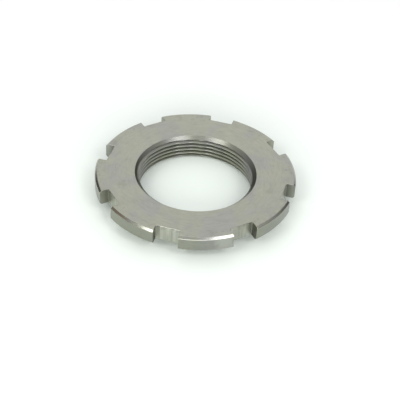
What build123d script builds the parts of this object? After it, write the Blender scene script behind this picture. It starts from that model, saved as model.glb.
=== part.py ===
from build123d import *

import os
from math import sqrt

# Round slotted lock nut with a fine thread: one turned and milled steel ring.
#
# The flange carries flat-floored spanner slots in its rim. A plain hub stands out of
# its underside and seats on the part that the nut is tightened against. The origin is
# the centre of the hub's seating face, and +Z is the thread's axis, towards the flat
# face that shows when the nut is fitted. All sizes are in millimetres.

# Thread M27 x 1: the bore is turned to the crest diameter of a full internal thread.
thread_major_diameter = 27.0
thread_pitch = 1.0
thread_depth_in_pitches = 5 / 8 * sqrt(3) / 2
bore_chamfer = 1.0

# Flange: the slotted disc that the spanner turns.
flange_diameter = 46.0
flange_thickness = 3.8
flange_chamfer = 0.5

# Hub: the plain collar under the flange.
hub_diameter = 34.0
hub_height = 2.4
hub_chamfer = 0.5
hub_root_radius = 0.4

# Spanner slots, milled straight through the rim. The first tooth is on the X axis.
slot_count = 8
slot_width = 5.7
slot_depth = 2.3
cutter_overrun = 1.0

bore_radius = thread_major_diameter / 2 - thread_depth_in_pitches * thread_pitch
bore_mouth_radius = bore_radius + bore_chamfer
hub_radius = hub_diameter / 2
flange_radius = flange_diameter / 2
nut_height = hub_height + flange_thickness
slot_floor_distance = flange_radius - slot_depth
half_slot_spacing = 180 / slot_count

with BuildPart() as slotted_nut:
    # Half section of the turned blank: the bore with both its mouths, the seating
    # face, the hub, the flange's underside, its rim and the flat top face.
    with BuildSketch(Plane.XZ):
        with BuildLine():
            Polyline(
                (bore_radius, bore_chamfer),
                (bore_mouth_radius, 0),
                (hub_radius - hub_chamfer, 0),
                (hub_radius, hub_chamfer),
                (hub_radius, hub_height),
                (flange_radius - flange_chamfer, hub_height),
                (flange_radius, hub_height + flange_chamfer),
                (flange_radius, nut_height - flange_chamfer),
                (flange_radius - flange_chamfer, nut_height),
                (bore_mouth_radius, nut_height),
                (bore_radius, nut_height - bore_chamfer),
                close=True,
            )
        make_face()
    revolve(axis=Axis.Z)

    # The turning tool's corner leaves a small radius where the hub meets the flange.
    hub_root = (
        slotted_nut.edges()
        .filter_by(GeomType.CIRCLE)
        .filter_by_position(Axis.Z, hub_height, hub_height)
        .sort_by(SortBy.RADIUS)[0]
    )
    fillet(hub_root, radius=hub_root_radius)

    # Each slot is flat on its floor and leaves a square-sided tooth on either side.
    with BuildSketch(Plane.XY.offset(hub_height)):
        with PolarLocations(slot_floor_distance, slot_count, start_angle=half_slot_spacing):
            Rectangle(
                slot_depth + cutter_overrun,
                slot_width,
                align=(Align.MIN, Align.CENTER),
            )
    extrude(amount=flange_thickness, mode=Mode.SUBTRACT)

slotted_nut.part.label = "slotted_nut"

os.makedirs("parts", exist_ok=True)
export_step(slotted_nut.part, "parts/slotted_nut.step")
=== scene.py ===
from math import asin, cos, pi, radians, sin, sqrt
from random import Random

import bmesh
import bpy
from bpy.props import FloatProperty, FloatVectorProperty, IntProperty, PointerProperty
from mathutils import Matrix, Vector


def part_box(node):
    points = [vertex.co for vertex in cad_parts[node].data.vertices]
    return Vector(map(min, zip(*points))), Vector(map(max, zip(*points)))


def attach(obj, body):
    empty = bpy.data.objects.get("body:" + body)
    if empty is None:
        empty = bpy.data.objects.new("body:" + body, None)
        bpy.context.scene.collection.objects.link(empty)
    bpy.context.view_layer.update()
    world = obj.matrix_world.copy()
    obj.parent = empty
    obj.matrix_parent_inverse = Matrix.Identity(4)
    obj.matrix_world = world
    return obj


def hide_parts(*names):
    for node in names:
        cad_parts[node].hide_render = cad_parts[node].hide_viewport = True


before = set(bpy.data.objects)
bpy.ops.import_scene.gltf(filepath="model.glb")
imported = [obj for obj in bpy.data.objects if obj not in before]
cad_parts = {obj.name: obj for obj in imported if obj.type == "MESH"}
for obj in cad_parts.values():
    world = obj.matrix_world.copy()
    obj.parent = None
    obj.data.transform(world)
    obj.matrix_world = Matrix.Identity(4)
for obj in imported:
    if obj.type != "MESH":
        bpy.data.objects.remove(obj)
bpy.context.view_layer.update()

bl_info = {
    "name": "Slotted Lock Nut",
    "version": (1, 0, 0),
    "blender": (4, 5, 0),
    "location": "3D View > Sidebar > Lock Nut",
    "description": "Makes a round slotted lock nut of turned steel, with its thread, and a studio stage",
    "category": "Add Mesh",
}

NUT_NODE = "slotted_nut"
MM = 0.001
BURR_SEED = 7
FULL_TURN = 2 * pi

# How finely the nut is divided: round its outline, and along each turned part of its section.
FLOOR_STEPS = 16
WALL_STEPS = 4
TOOTH_STEPS = 36
STEPS_PER_PITCH = 20
FILLET_STEPS = 8

# Rings on the top face, as shares of the way from the bore's mouth to the shoulder inside of the slots.
FACE_RINGS = (0.2, 0.6, 1)
SHOULDER_WIDTH = 0.4 * MM

# How far the columns of a slot's wall spread round the axis, inside of the shoulder.
WALL_SPREAD = radians(2)

# Edges that turn by more than this are broken, and shading turns hard at edges past SHARP_ANGLE.
BROKEN_EDGE_ANGLE = radians(20)
BROKEN_EDGE_SEGMENTS = 2
SHARP_ANGLE = radians(12)

# Places of a colour Mix node's sockets.
MIX_SHARE = 0
MIX_FIRST = 6
MIX_SECOND = 7
MIX_RESULT = 2

# How much upright streaks are squeezed in height, and how far gloss varies from patch to patch.
STREAK_SQUEEZE = 0.06
GLOSS_SPREAD = 0.03

nut_low, nut_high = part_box(NUT_NODE)


class NutSizes(bpy.types.PropertyGroup):
    """Sizes of the nut, all in metres"""

    flange_diameter: FloatProperty(
        name="Flange Diameter",
        description="Across the teeth",
        default=nut_high[0] - nut_low[0],
        unit="LENGTH",
    )
    height: FloatProperty(
        name="Height",
        description="From the hub's seating face to the top face",
        default=nut_high[2] - nut_low[2],
        unit="LENGTH",
    )
    flange_thickness: FloatProperty(
        name="Flange Thickness", description="Of the slotted disc", default=3.8 * MM, unit="LENGTH"
    )
    flange_chamfer: FloatProperty(
        name="Rim Chamfer", description="On both edges of every tooth", default=0.5 * MM, unit="LENGTH"
    )
    hub_diameter: FloatProperty(
        name="Hub Diameter", description="Of the collar underneath", default=34 * MM, unit="LENGTH"
    )
    hub_chamfer: FloatProperty(
        name="Hub Chamfer", description="On the hub's lower edge", default=0.5 * MM, unit="LENGTH"
    )
    hub_root_radius: FloatProperty(
        name="Hub Root Radius", description="Where the hub meets the flange", default=0.4 * MM, unit="LENGTH"
    )
    slot_count: IntProperty(name="Slots", description="Spanner slots in the rim", default=8, min=3)
    slot_width: FloatProperty(
        name="Slot Width", description="Between a slot's two walls", default=5.7 * MM, unit="LENGTH"
    )
    slot_depth: FloatProperty(
        name="Slot Depth", description="From the rim to a slot's floor", default=2.3 * MM, unit="LENGTH"
    )
    thread_diameter: FloatProperty(
        name="Thread Diameter", description="Across the thread's roots", default=27 * MM, unit="LENGTH"
    )
    thread_pitch: FloatProperty(
        name="Thread Pitch", description="From one turn to the next", default=1 * MM, unit="LENGTH"
    )
    thread_start: FloatProperty(
        name="Thread Start",
        description="Turns the thread about its axis",
        default=radians(194),
        subtype="ANGLE",
    )
    bore_chamfer: FloatProperty(
        name="Bore Chamfer", description="At both mouths of the bore", default=1 * MM, unit="LENGTH"
    )
    edge_break: FloatProperty(
        name="Edge Break", description="Width of the deburred edges", default=0.07 * MM, unit="LENGTH"
    )
    burr_size: FloatProperty(
        name="Burr Size",
        description="How ragged the slots' milled edges are",
        default=0.12 * MM,
        unit="LENGTH",
    )


class NutFinishes(bpy.types.PropertyGroup):
    """Colours of the nut's steel"""

    warm_steel: FloatVectorProperty(
        name="Warm Steel", description="Most of the steel", default=(0.6, 0.615, 0.51), subtype="COLOR"
    )
    cool_steel: FloatVectorProperty(
        name="Cool Steel", description="Cooler patches", default=(0.57, 0.575, 0.54), subtype="COLOR"
    )
    bright_steel: FloatVectorProperty(
        name="Bright Steel", description="Worn edges and specks", default=(0.8, 0.8, 0.74), subtype="COLOR"
    )
    # Stained and oily places, and also the painted shade on the slots' walls and in the thread's roots.
    dull_steel_and_shade: FloatVectorProperty(
        name="Dull Steel", description="Stained and oily places", default=(0.4, 0.4, 0.335), subtype="COLOR"
    )
    brown_stain: FloatVectorProperty(
        name="Brown Stain", description="Old oil baked on", default=(0.37, 0.31, 0.23), subtype="COLOR"
    )


class StageSettings(bpy.types.PropertyGroup):
    """The floor, the lamps and the camera"""

    # The paper near the nut: its colour, tinted greener and darker as painted shade.
    paper_and_shade_colour: FloatVectorProperty(
        name="Floor Colour", description="Pale paper", default=(0.935, 1.0, 0.95), subtype="COLOR"
    )
    far_floor_colour: FloatVectorProperty(
        name="Far Floor Colour", description="The paper away from the nut", default=(1, 1, 1), subtype="COLOR"
    )
    horizon_brightness: FloatProperty(name="Horizon Brightness", description="Of the room", default=0.06)
    ceiling_brightness: FloatProperty(name="Ceiling Brightness", description="Of the room", default=0.64)


# ---------------------------------------------------------------- the nut's shape


def thread_depth(sizes):
    """Depth of a full internal thread: five eighths of its sharp triangle."""
    return 5 / 8 * sqrt(3) / 2 * sizes.thread_pitch


def groove_share(turns):
    """How deep the thread is, from 0 on a crest to 1 in a root, at a place counted in pitches."""
    crest_flat = 1 / 4
    root_flat = 1 / 8
    from_root = abs(turns % 1 - 1 / 2)
    flank = (1 - crest_flat - root_flat) / 2
    share = (1 / 2 - crest_flat / 2 - from_root) / flank
    return min(max(share, 0), 1)


def bore_radius(sizes, angle, z):
    """Radius of the bore's wall: the thread, or the chamfered mouth where that is wider."""
    crest_radius = sizes.thread_diameter / 2 - thread_depth(sizes)
    turns = z / sizes.thread_pitch - (angle - sizes.thread_start) / FULL_TURN
    threaded = crest_radius + thread_depth(sizes) * groove_share(turns)
    from_mouth = min(z, sizes.height - z)
    return max(threaded, crest_radius + sizes.bore_chamfer - from_mouth)


def steps(start, end, count):
    """Even steps from start, up to but without end."""
    return [start + (end - start) * i / count for i in range(count)]


def outline_columns(sizes):
    """One entry for each column of the mesh round the nut: (kind, share, angle of its slot).

    A column lies on a slot's floor, on one of its walls, or on the tooth that follows.
    """
    spacing = FULL_TURN / sizes.slot_count
    columns = []
    for slot in range(sizes.slot_count):
        middle = (slot + 1 / 2) * spacing
        columns += [("floor", share, middle) for share in steps(-1, 1, FLOOR_STEPS)]
        columns += [("near wall", share, middle) for share in steps(0, 1, WALL_STEPS)]
        columns += [("tooth", share, middle) for share in steps(0, 1, TOOTH_STEPS)]
        columns += [("far wall", share, middle + spacing) for share in steps(1, 0, WALL_STEPS)]
    return columns


def outline_point(sizes, column, rim_radius):
    """Where a column meets the slotted outline whose teeth reach rim_radius."""
    kind, share, middle = column
    half_width = sizes.slot_width / 2
    floor_distance = sizes.flange_diameter / 2 - sizes.slot_depth
    tooth_distance = sqrt(rim_radius**2 - half_width**2)
    if kind == "floor":
        along, across = floor_distance, share * half_width
    elif kind == "near wall":
        along, across = floor_distance + share * (tooth_distance - floor_distance), half_width
    elif kind == "far wall":
        along, across = floor_distance + share * (tooth_distance - floor_distance), -half_width
    else:
        slot_half_angle = asin(half_width / rim_radius)
        tooth_angle = FULL_TURN / sizes.slot_count - 2 * slot_half_angle
        angle = slot_half_angle + share * tooth_angle
        along, across = rim_radius * cos(angle), rim_radius * sin(angle)
    x = along * cos(middle) - across * sin(middle)
    y = along * sin(middle) + across * cos(middle)
    return x, y


def round_angle(sizes, column, shoulder):
    """The angle at which a column crosses the round parts of the nut, inside of the slots."""
    kind, share, middle = column
    corner = asin(sizes.slot_width / 2 / shoulder)
    if kind == "floor":
        return middle + share * corner
    if kind == "near wall":
        return middle + corner + share * WALL_SPREAD
    if kind == "far wall":
        return middle - corner - share * WALL_SPREAD
    first = corner + WALL_SPREAD
    return middle + first + share * (FULL_TURN / sizes.slot_count - 2 * first)


FINISHES = (
    "turned face",
    "turned rim",
    "rim chamfer",
    "milled floor",
    "milled wall",
    "bore chamfer",
    "cut thread",
    "worn edge",
)


def nut_rings(sizes):
    """Rings of points that wrap the nut: up the bore, out, down the rim and back underneath.

    Each ring comes with the finish of the surface between it and the next one, and with
    whether the slots cut that surface: (points, finish, is slotted). Also returns the columns
    and the number of rings in the bore.
    """
    columns = outline_columns(sizes)
    top = sizes.height
    underside = sizes.height - sizes.flange_thickness
    rim = sizes.flange_diameter / 2
    hub = sizes.hub_diameter / 2
    shoulder = rim - sizes.slot_depth - SHOULDER_WIDTH
    angles = [round_angle(sizes, column, shoulder) for column in columns]

    def circle(radius, z):
        return [Vector((radius * cos(a), radius * sin(a), z)) for a in angles]

    def bore(z):
        points = []
        for angle in angles:
            radius = bore_radius(sizes, angle, z)
            points.append(Vector((radius * cos(angle), radius * sin(angle), z)))
        return points

    def outline(rim_radius, z):
        return [Vector((*outline_point(sizes, column, rim_radius), z)) for column in columns]

    def ragged(ring):
        """The cutter tore this edge a little, on the slots' floors between their corners."""
        draw = Random(BURR_SEED)
        for point, (kind, share, _) in zip(ring, columns):
            torn = draw.random() * sizes.burr_size
            in_corner = share == -1
            if kind == "floor" and not in_corner:
                point.xy *= 1 - torn / point.xy.length
        return ring

    rings = []
    bore_steps = round(STEPS_PER_PITCH * sizes.height / sizes.thread_pitch)
    for z in steps(0, top, bore_steps):
        in_mouth = min(z, top - z) < sizes.bore_chamfer
        rings.append((bore(z), "bore chamfer" if in_mouth else "cut thread", False))
    mouth = bore_radius(sizes, 0, top)
    rings.append((circle(mouth, top), "turned face", False))
    for share in FACE_RINGS:
        rings.append((circle(mouth + share * (shoulder - mouth), top), "turned face", False))
    rings += [
        (ragged(outline(rim - sizes.flange_chamfer, top)), "rim chamfer", True),
        (outline(rim, top - sizes.flange_chamfer), "turned rim", True),
        (outline(rim, underside + sizes.flange_chamfer), "rim chamfer", True),
        (outline(rim - sizes.flange_chamfer, underside), "turned face", False),
        (circle(shoulder, underside), "turned face", False),
    ]
    fillet = sizes.hub_root_radius
    for turn in steps(0, pi / 2, FILLET_STEPS):
        place = circle(hub + fillet * (1 - sin(turn)), underside - fillet * (1 - cos(turn)))
        rings.append((place, "turned face", False))
    rings += [
        (circle(hub, underside - fillet), "turned rim", False),
        (circle(hub, sizes.hub_chamfer), "rim chamfer", False),
        (circle(hub - sizes.hub_chamfer, 0), "turned face", False),
    ]
    return columns, rings, bore_steps


def nut_mesh(sizes):
    """The nut as one closed grid of quads, with its thread cut and its edges broken."""
    columns, rings, bore_steps = nut_rings(sizes)
    mesh = bmesh.new()
    grid = [[mesh.verts.new(point) for point in ring[0]] for ring in rings]
    count = len(columns)
    for row, (_, finish, slotted) in enumerate(rings):
        here = grid[row]
        after = grid[(row + 1) % len(grid)]
        for i in range(count):
            j = (i + 1) % count
            face = mesh.faces.new((here[i], after[i], after[j], here[j]))
            kind = columns[i][0]
            if slotted and kind == "floor":
                face.material_index = FINISHES.index("milled floor")
            elif slotted and kind != "tooth":
                face.material_index = FINISHES.index("milled wall")
            else:
                face.material_index = FINISHES.index(finish)
    bmesh.ops.recalc_face_normals(mesh, faces=mesh.faces)
    bore = {vert for ring in grid[1:bore_steps] for vert in ring}
    sharp = [
        edge
        for edge in mesh.edges
        if edge.calc_face_angle() > BROKEN_EDGE_ANGLE and not (set(edge.verts) & bore)
    ]
    bmesh.ops.bevel(
        mesh,
        geom=sharp,
        offset=sizes.edge_break,
        offset_type="OFFSET",
        segments=BROKEN_EDGE_SEGMENTS,
        profile=0.5,
        affect="EDGES",
        clamp_overlap=True,
        material=FINISHES.index("worn edge"),
    )
    for face in mesh.faces:
        face.smooth = True
    data = bpy.data.meshes.new("slotted_nut_steel")
    mesh.to_mesh(data)
    mesh.free()
    data.set_sharp_from_angle(angle=SHARP_ANGLE)
    return data


# ---------------------------------------------------------------- the nut's steel


def add_node(tree, kind, inputs=(), **settings):
    """A new node with its settings, and its inputs set to a value or linked from a socket."""
    node = tree.nodes.new(kind)
    for name, value in settings.items():
        setattr(node, name, value)
    for name, value in dict(inputs).items():
        if isinstance(value, bpy.types.NodeSocket):
            tree.links.new(value, node.inputs[name])
        else:
            node.inputs[name].default_value = value
    return node


def calculate(tree, operation, *values):
    """A Math node's result."""
    return add_node(tree, "ShaderNodeMath", enumerate(values), operation=operation).outputs[0]


def reshape(tree, value, low, high, to_low, to_high, smooth=False):
    """A value that runs from low to high, brought to run from to_low to to_high and no further."""
    node = add_node(
        tree,
        "ShaderNodeMapRange",
        {"Value": value, "From Min": low, "From Max": high, "To Min": to_low, "To Max": to_high},
        interpolation_type="SMOOTHSTEP" if smooth else "LINEAR",
    )
    return node.outputs["Result"]


def blend_colours(tree, share, first, second):
    """A colour between two others, each a colour or a socket, by a share from a socket."""
    node = add_node(tree, "ShaderNodeMix", data_type="RGBA")
    tree.links.new(share, node.inputs[MIX_SHARE])
    for place, colour in ((MIX_FIRST, first), (MIX_SECOND, second)):
        if isinstance(colour, bpy.types.NodeSocket):
            tree.links.new(colour, node.inputs[place])
        else:
            node.inputs[place].default_value = (*colour, 1)
    return node.outputs[MIX_RESULT]


def noise(tree, place, size, detail=3, roughness=0.55, distortion=0):
    """A cloudy value about 0.5, whose clouds are about as wide as size."""
    inputs = {
        "Vector": place,
        "Scale": 1 / size,
        "Detail": detail,
        "Roughness": roughness,
        "Distortion": distortion,
    }
    return add_node(tree, "ShaderNodeTexNoise", inputs).outputs["Fac"]


def object_place(tree):
    """Coordinates in metres, from the object's own origin."""
    return add_node(tree, "ShaderNodeTexCoord").outputs["Object"]


def coordinate(tree, place, axis):
    """One coordinate of a place: "X", "Y" or "Z"."""
    return add_node(tree, "ShaderNodeSeparateXYZ", {0: place}).outputs[axis]


def from_axis(tree, place):
    """How far a place is from the nut's axis."""
    flat = add_node(tree, "ShaderNodeVectorMath", {0: place, 1: (1, 1, 0)}, operation="MULTIPLY").outputs[0]
    return add_node(tree, "ShaderNodeVectorMath", {0: flat}, operation="LENGTH").outputs["Value"]


def turned_place(tree, place, sweep):
    """Coordinates that stay nearly the same round the nut's axis, so noise on them turns into rings.

    Sweep is how far they move in one radian round the axis.
    """
    flat = add_node(tree, "ShaderNodeVectorMath", {0: place, 1: (1, 1, 0)}, operation="MULTIPLY").outputs[0]
    round_axis = add_node(tree, "ShaderNodeVectorMath", {0: flat}, operation="NORMALIZE").outputs[0]
    scaling = {0: round_axis, "Scale": sweep}
    swept = add_node(tree, "ShaderNodeVectorMath", scaling, operation="SCALE").outputs[0]
    along = calculate(tree, "ADD", from_axis(tree, place), coordinate(tree, place, "Z"))
    rise = add_node(tree, "ShaderNodeCombineXYZ", {"Z": along}).outputs[0]
    return add_node(tree, "ShaderNodeVectorMath", {0: swept, 1: rise}, operation="ADD").outputs[0]


def milled_place(tree, place):
    """Coordinates squeezed in height, so noise on them turns into upright streaks."""
    squeeze = (1, 1, STREAK_SQUEEZE)
    return add_node(tree, "ShaderNodeVectorMath", {0: place, 1: squeeze}, operation="MULTIPLY").outputs[0]


def toned(colour, tone):
    """A colour times a tone."""
    return tuple(part * tone for part in colour)


def spot(tree, place, middle, reach, strength):
    """A soft spot about a point, from strength in its middle to 0 at its reach, with a cloudy edge."""
    ends = {0: place, 1: middle}
    away = add_node(tree, "ShaderNodeVectorMath", ends, operation="DISTANCE").outputs["Value"]
    clouds = noise(tree, place, size=reach / 2, detail=4)
    shift = reshape(tree, clouds, low=0.3, high=0.7, to_low=-reach / 2, to_high=reach / 2)
    shifted = calculate(tree, "ADD", away, shift)
    return reshape(tree, shifted, low=reach, high=reach / 4, to_low=0, to_high=strength, smooth=True)


def on_nut(radius, azimuth, z):
    """A place on the nut, from a radius, an angle round the axis and a height."""
    return radius * cos(azimuth), radius * sin(azimuth), z


class Steel:
    """Machined steel, built up layer by layer on one shader."""

    def __init__(self, name, colours, tone):
        self.material = bpy.data.materials.new(name)
        self.material.use_nodes = True
        self.tree = self.material.node_tree
        self.shader = self.tree.nodes["Principled BSDF"]
        self.shader.inputs["Metallic"].default_value = 1.0
        self.place = object_place(self.tree)
        # The dull colour serves for real grime and for painted shade.
        self.dull = toned(colours.dull_steel_and_shade, tone)
        self.bright = toned(colours.bright_steel, tone)
        self.patches = noise(self.tree, self.place, size=7 * MM, detail=4, roughness=0.6, distortion=0.4)
        cool_share = reshape(self.tree, self.patches, low=0.42, high=0.62, to_low=0, to_high=1, smooth=True)
        warm = toned(colours.warm_steel, tone)
        cool = toned(colours.cool_steel, tone)
        self.colour = blend_colours(self.tree, cool_share, warm, cool)

    def cover(self, share, colour):
        """Lays a colour over the steel, wherever share says and as strongly."""
        self.colour = blend_colours(self.tree, share, self.colour, colour)

    def smudge(self, middle, reach, strength, colour):
        """Lays a soft spot of a colour about a point."""
        self.cover(spot(self.tree, self.place, middle, reach, strength), colour)

    def cut_lines(self, place, width, depth, share):
        """Lines left by the cutter: dull in their bottoms, and cut into the surface."""
        lines = noise(self.tree, place, size=width, detail=5, roughness=0.7)
        self.cover(reshape(self.tree, lines, low=0.3, high=0.6, to_low=share, to_high=0), self.dull)
        bump = add_node(self.tree, "ShaderNodeBump", {"Height": lines, "Distance": depth, "Strength": 1.0})
        self.tree.links.new(bump.outputs[0], self.shader.inputs["Normal"])

    def dirt(self, size, share):
        """Small clouds of dull grime."""
        clouds = noise(self.tree, self.place, size, detail=5, roughness=0.7)
        self.cover(reshape(self.tree, clouds, low=0.48, high=0.68, to_low=0, to_high=share), self.dull)

    def finish(self, roughness):
        """Joins the layers to the shader, a little glossier and duller from patch to patch."""
        glossy = roughness - GLOSS_SPREAD
        matt = roughness + GLOSS_SPREAD
        gloss = reshape(self.tree, self.patches, low=0.3, high=0.7, to_low=glossy, to_high=matt)
        self.tree.links.new(gloss, self.shader.inputs["Roughness"])
        self.tree.links.new(self.colour, self.shader.inputs["Base Color"])
        return self.material


def turned_face(sizes, colours):
    """The flat faces: fine rings from the lathe, grey patches, nicks near the slots and a few smudges."""
    steel = Steel("turned_face", colours, tone=0.69)
    rings = turned_place(steel.tree, steel.place, sweep=2 * MM)
    steel.cut_lines(rings, width=0.25 * MM, depth=0.004 * MM, share=0.45)
    steel.dirt(size=2.2 * MM, share=0.22)
    specks = noise(steel.tree, steel.place, size=0.8 * MM)
    nicks = reshape(steel.tree, specks, low=0.56, high=0.66, to_low=0, to_high=0.45)
    nicked_width = 1 * MM
    slots = sizes.flange_diameter / 2 - sizes.slot_depth
    radius = from_axis(steel.tree, steel.place)
    near_slots = reshape(steel.tree, radius, low=slots - nicked_width, high=slots, to_low=0, to_high=1)
    steel.cover(calculate(steel.tree, "MULTIPLY", nicks, near_slots), steel.dull)
    top = sizes.height
    faint = 0.35
    steel.smudge(on_nut(17.3 * MM, radians(-168.6), top), reach=1.4 * MM, strength=faint, colour=steel.dull)
    steel.smudge(on_nut(17.5 * MM, radians(-27), top), reach=1.1 * MM, strength=faint, colour=steel.dull)
    steel.smudge(on_nut(21.3 * MM, radians(145.8), top), reach=1.2 * MM, strength=faint, colour=steel.dull)
    return steel.finish(roughness=0.36)


def turned_rim(sizes, colours):
    """The rim and the hub's side: rings from the lathe under a dull film, rubbed bright on one tooth."""
    steel = Steel("turned_rim", colours, tone=0.52)
    rings = turned_place(steel.tree, steel.place, sweep=1.5 * MM)
    steel.cut_lines(rings, width=0.25 * MM, depth=0.004 * MM, share=0.4)
    steel.dirt(size=1.5 * MM, share=0.3)
    halfway = sizes.height - sizes.flange_thickness / 2
    rubbed = on_nut(sizes.flange_diameter / 2, radians(-80), halfway)
    steel.smudge(rubbed, reach=5 * MM, strength=0.8, colour=steel.bright)
    return steel.finish(roughness=0.34)


def rim_chamfer(sizes, colours):
    """The rim's and the hub's chamfers: glossy, with old oil baked on one of them."""
    steel = Steel("rim_chamfer", colours, tone=0.7)
    rings = turned_place(steel.tree, steel.place, sweep=1.5 * MM)
    steel.cut_lines(rings, width=0.12 * MM, depth=0.002 * MM, share=0.2)
    halfway = sizes.height - sizes.flange_chamfer / 2
    stained = on_nut(sizes.flange_diameter / 2, radians(-146), halfway)
    steel.smudge(stained, reach=4.5 * MM, strength=0.9, colour=toned(colours.brown_stain, tone=0.8))
    return steel.finish(roughness=0.22)


def milled_floor(sizes, colours):
    """The slots' floors: upright streaks from the side of the milling cutter, torn specks near the top."""
    steel = Steel("milled_floor", colours, tone=0.76)
    streaks = milled_place(steel.tree, steel.place)
    steel.cut_lines(streaks, width=0.7 * MM, depth=0.03 * MM, share=1.0)
    pale = noise(steel.tree, streaks, size=0.9 * MM)
    steel.cover(reshape(steel.tree, pale, low=0.52, high=0.62, to_low=0, to_high=0.4), steel.bright)
    specks = noise(steel.tree, steel.place, size=0.7 * MM)
    torn = reshape(steel.tree, specks, low=0.5, high=0.6, to_low=0, to_high=0.8)
    top = sizes.height
    torn_height = 1.4 * MM
    height = coordinate(steel.tree, steel.place, "Z")
    near_top = reshape(steel.tree, height, low=top - torn_height, high=top, to_low=0, to_high=1)
    steel.cover(calculate(steel.tree, "MULTIPLY", torn, near_top), toned(steel.dull, tone=0.8))
    return steel.finish(roughness=0.38)


def milled_wall(sizes, colours):
    """The slots' walls: rubbed dull by the cutter, with painted shade towards -Y and in their corners."""
    steel = Steel("milled_wall", colours, tone=0.72)
    streaks = milled_place(steel.tree, steel.place)
    steel.cut_lines(streaks, width=0.5 * MM, depth=0.008 * MM, share=0.6)
    steel.dirt(size=0.8 * MM, share=0.3)
    # Painted shade: the walls darken towards -Y, so the front slots' walls are darker.
    across = coordinate(steel.tree, steel.place, "Y")
    painted_shade = reshape(steel.tree, across, low=-6 * MM, high=-14 * MM, to_low=0, to_high=0.85)
    steel.cover(painted_shade, toned(steel.dull, tone=0.4))
    # Painted shade: the walls darken towards the slot's floor, in their inner corners.
    unshaded_width = 0.5 * MM
    unshaded = sizes.flange_diameter / 2 - unshaded_width
    floor = sizes.flange_diameter / 2 - sizes.slot_depth
    radius = from_axis(steel.tree, steel.place)
    corner = reshape(steel.tree, radius, low=unshaded, high=floor, to_low=0, to_high=0.7)
    steel.cover(corner, toned(steel.dull, tone=0.5))
    return steel.finish(roughness=0.4)


def bore_chamfer(sizes, colours):
    """The bore's mouths: rings from the lathe."""
    steel = Steel("bore_chamfer", colours, tone=0.5)
    rings = turned_place(steel.tree, steel.place, sweep=1 * MM)
    steel.cut_lines(rings, width=0.15 * MM, depth=0.005 * MM, share=0.4)
    return steel.finish(roughness=0.33)


def cut_thread(sizes, colours):
    """The thread: bright crests, and painted shade in the roots, weaker near the upper mouth."""
    steel = Steel("cut_thread", colours, tone=0.62)
    rings = turned_place(steel.tree, steel.place, sweep=1 * MM)
    steel.cut_lines(rings, width=0.1 * MM, depth=0.003 * MM, share=0.4)
    # Painted shade: the thread's roots are darkened by radius, less so within one pitch of the upper mouth.
    unshaded = 0.1 * MM
    root = sizes.thread_diameter / 2
    crest = root - thread_depth(sizes)
    radius = from_axis(steel.tree, steel.place)
    painted_shade = reshape(steel.tree, radius, low=crest + unshaded, high=root - unshaded, to_low=0, to_high=0.6)
    shade_fade_top = sizes.height - sizes.bore_chamfer
    shade_fade_bottom = shade_fade_top - sizes.thread_pitch
    height = coordinate(steel.tree, steel.place, "Z")
    shade_strength = reshape(steel.tree, height, low=shade_fade_top, high=shade_fade_bottom, to_low=0.15, to_high=1)
    steel.cover(calculate(steel.tree, "MULTIPLY", painted_shade, shade_strength), toned(steel.dull, tone=0.35))
    return steel.finish(roughness=0.3)


def worn_edge(sizes, colours):
    """The broken edges: rubbed bright, with dull nicks."""
    steel = Steel("worn_edge", colours, tone=0.7)
    specks = noise(steel.tree, steel.place, size=0.5 * MM, detail=4, roughness=0.7)
    steel.cover(reshape(steel.tree, specks, low=0.5, high=0.65, to_low=0, to_high=0.8), steel.bright)
    steel.cut_lines(steel.place, width=0.4 * MM, depth=0.003 * MM, share=0.6)
    return steel.finish(roughness=0.32)


def nut_materials(sizes, colours):
    """One steel for each of the nut's finishes, in the order of FINISHES."""
    makers = (
        turned_face,
        turned_rim,
        rim_chamfer,
        milled_floor,
        milled_wall,
        bore_chamfer,
        cut_thread,
        worn_edge,
    )
    return [maker(sizes, colours) for maker in makers]


class NUT_OT_make_nut(bpy.types.Operator):
    """Make the slotted nut, with its thread, in turned steel"""

    bl_idname = "lock_nut.make_nut"
    bl_label = "Slotted Nut"

    def execute(self, context):
        scene = context.scene
        nut = bpy.data.objects.new("slotted_nut_steel", nut_mesh(scene.nut_sizes))
        for material in nut_materials(scene.nut_sizes, scene.nut_finishes):
            nut.data.materials.append(material)
        scene.collection.objects.link(nut)
        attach(nut, "root")
        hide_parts(NUT_NODE)
        return {"FINISHED"}


# ---------------------------------------------------------------- the stage


FLOOR_HALF_WIDTH = 1.5

# How far the camera and the lamps stand turned about the nut's axis.
VIEW_TURN = radians(-7.95)

# The camera's place and what it looks at, in flange radii from the middle of the top face.
CAMERA_PLACE = (0, -8.96571, 7.08693)
CAMERA_TARGET = (0.056294, -0.435791, 0)
CAMERA_ROLL = radians(3.5315)
CAMERA_LENS = 103.45
SENSOR_WIDTH = 36


def floor_material(stage):
    """Pale paper, with a painted greenish shade near the nut that fades to white away from it."""
    material = bpy.data.materials.new("floor_paper")
    material.use_nodes = True
    tree = material.node_tree
    shader = tree.nodes["Principled BSDF"]
    place = object_place(tree)
    away = add_node(tree, "ShaderNodeVectorMath", {0: place}, operation="LENGTH").outputs["Value"]
    # Painted shade: the paper is tinted greener and darker within 20 mm of the nut, and white beyond 60 mm.
    near = 20 * MM
    far = 60 * MM
    far_share = reshape(tree, away, low=near, high=far, to_low=0, to_high=1, smooth=True)
    colour = blend_colours(tree, far_share, stage.paper_and_shade_colour, stage.far_floor_colour)
    tree.links.new(colour, shader.inputs["Base Color"])
    grain = noise(tree, place, size=0.6 * MM, detail=4)
    grain_depth = 0.01 * MM
    bump = add_node(tree, "ShaderNodeBump", {"Height": grain, "Distance": grain_depth, "Strength": 1.0})
    tree.links.new(bump.outputs[0], shader.inputs["Normal"])
    shader.inputs["Roughness"].default_value = 0.9
    shader.inputs["Specular IOR Level"].default_value = 0.1
    return material


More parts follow.
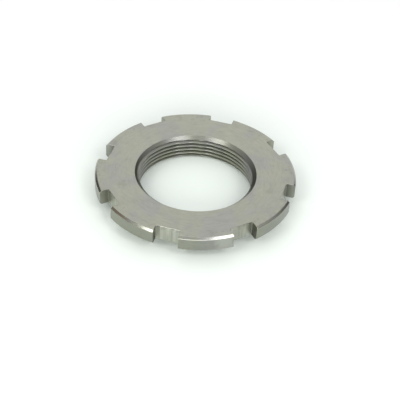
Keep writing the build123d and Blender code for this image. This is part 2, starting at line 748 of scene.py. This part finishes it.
def studio_floor(stage):
    """A square of pale paper under the nut."""
    half = FLOOR_HALF_WIDTH
    corners = [(-half, -half, 0), (half, -half, 0), (half, half, 0), (-half, half, 0)]
    floor = bpy.data.meshes.new("floor")
    floor.from_pydata(corners, [], [(0, 1, 2, 3)])
    floor.materials.append(floor_material(stage))
    return bpy.data.objects.new("floor", floor)


def studio_world(stage):
    """A plain room: dark near the horizon and brighter overhead."""
    world = bpy.data.worlds.new("studio")
    world.use_nodes = True
    tree = world.node_tree
    background = tree.nodes["Background"]
    direction = add_node(tree, "ShaderNodeTexCoord").outputs["Generated"]
    strength = reshape(
        tree,
        coordinate(tree, direction, "Z"),
        low=0.1,
        high=0.62,
        to_low=stage.horizon_brightness,
        to_high=stage.ceiling_brightness,
        smooth=True,
    )
    tree.links.new(strength, background.inputs["Strength"])
    background.inputs["Color"].default_value = (1, 1, 1, 1)
    return world


def around(azimuth, elevation, distance):
    """A place seen from the nut at an azimuth, counted from +X towards +Y, and an elevation."""
    return Vector((cos(azimuth) * cos(elevation), sin(azimuth) * cos(elevation), sin(elevation))) * distance


def add_lamp(context, name, azimuth, elevation, distance, width, height, brightness):
    """A soft lamp that faces the nut. A brightness of 1 looks white.

    The azimuth and elevation are in degrees, and the azimuth counts from the right of the
    camera's view, anticlockwise from above, so the camera is at -90.
    """
    place = around(VIEW_TURN + radians(azimuth), radians(elevation), distance)
    lamp = bpy.data.lights.new(name, "AREA")
    lamp.shape = "RECTANGLE"
    lamp.size = width
    lamp.size_y = height
    lamp.energy = brightness * pi * width * height
    lamp_object = bpy.data.objects.new(name, lamp)
    lamp_object.location = place
    lamp_object.rotation_euler = (-place).to_track_quat("-Z", "Y").to_euler()
    context.scene.collection.objects.link(lamp_object)


def studio_lamps(context):
    """Two softboxes beside the camera, a lamp overhead, a panel behind the nut and a fill in front."""
    add_lamp(
        context,
        "left_softbox",
        azimuth=-134,
        elevation=47,
        distance=0.6,
        width=0.2,
        height=0.2,
        brightness=4.2,
    )
    add_lamp(
        context,
        "right_softbox",
        azimuth=-50,
        elevation=48,
        distance=0.6,
        width=0.2,
        height=0.2,
        brightness=4.6,
    )
    add_lamp(
        context,
        "key",
        azimuth=110,
        elevation=66,
        distance=0.8,
        width=0.5,
        height=0.4,
        brightness=0.9,
    )
    add_lamp(
        context,
        "back_panel",
        azimuth=86,
        elevation=30,
        distance=0.8,
        width=0.9,
        height=0.35,
        brightness=0.62,
    )
    add_lamp(
        context,
        "front_fill",
        azimuth=-90,
        elevation=20,
        distance=0.7,
        width=0.9,
        height=0.3,
        brightness=4.2,
    )


def studio_camera(sizes):
    """A camera that looks down on the nut from the front, rolled a little."""
    flange_radius = sizes.flange_diameter / 2
    top = Vector((0, 0, sizes.height))
    turn = Matrix.Rotation(VIEW_TURN, 3, "Z")
    place = turn @ Vector(CAMERA_PLACE) * flange_radius + top
    target = turn @ Vector(CAMERA_TARGET) * flange_radius + top
    facing = (target - place).to_track_quat("-Z", "Y").to_matrix()
    rotation = facing @ Matrix.Rotation(CAMERA_ROLL, 3, "Z")
    camera = bpy.data.cameras.new("camera")
    camera.lens = CAMERA_LENS
    camera.sensor_width = SENSOR_WIDTH
    camera_object = bpy.data.objects.new("camera", camera)
    camera_object.matrix_world = Matrix.Translation(place) @ rotation.to_4x4()
    return camera_object


class NUT_OT_make_stage(bpy.types.Operator):
    """Make the pale floor, the soft lamps and the camera"""

    bl_idname = "lock_nut.make_stage"
    bl_label = "Stage"

    def execute(self, context):
        scene = context.scene
        floor_object = studio_floor(scene.nut_stage)
        scene.collection.objects.link(floor_object)
        scene.world = studio_world(scene.nut_stage)
        studio_lamps(context)
        camera_object = studio_camera(scene.nut_sizes)
        scene.collection.objects.link(camera_object)
        scene.camera = camera_object
        scene.view_settings.view_transform = "Standard"
        return {"FINISHED"}


class NUT_PT_panel(bpy.types.Panel):
    """Buttons for the nut and its stage"""

    bl_idname = "NUT_PT_panel"
    bl_label = "Lock Nut"
    bl_space_type = "VIEW_3D"
    bl_region_type = "UI"
    bl_category = "Lock Nut"

    def draw(self, context):
        layout = self.layout
        for operator in (NUT_OT_make_nut, NUT_OT_make_stage):
            layout.operator(operator.bl_idname)


CLASSES = (NutSizes, NutFinishes, StageSettings, NUT_OT_make_nut, NUT_OT_make_stage, NUT_PT_panel)


def register():
    for cls in CLASSES:
        bpy.utils.register_class(cls)
    bpy.types.Scene.nut_sizes = PointerProperty(type=NutSizes)
    bpy.types.Scene.nut_finishes = PointerProperty(type=NutFinishes)
    bpy.types.Scene.nut_stage = PointerProperty(type=StageSettings)


def unregister():
    del bpy.types.Scene.nut_stage
    del bpy.types.Scene.nut_finishes
    del bpy.types.Scene.nut_sizes
    for cls in reversed(CLASSES):
        bpy.utils.unregister_class(cls)


def main():
    register()
    bpy.ops.lock_nut.make_nut()
    bpy.ops.lock_nut.make_stage()


if __name__ == "__main__":
    main()
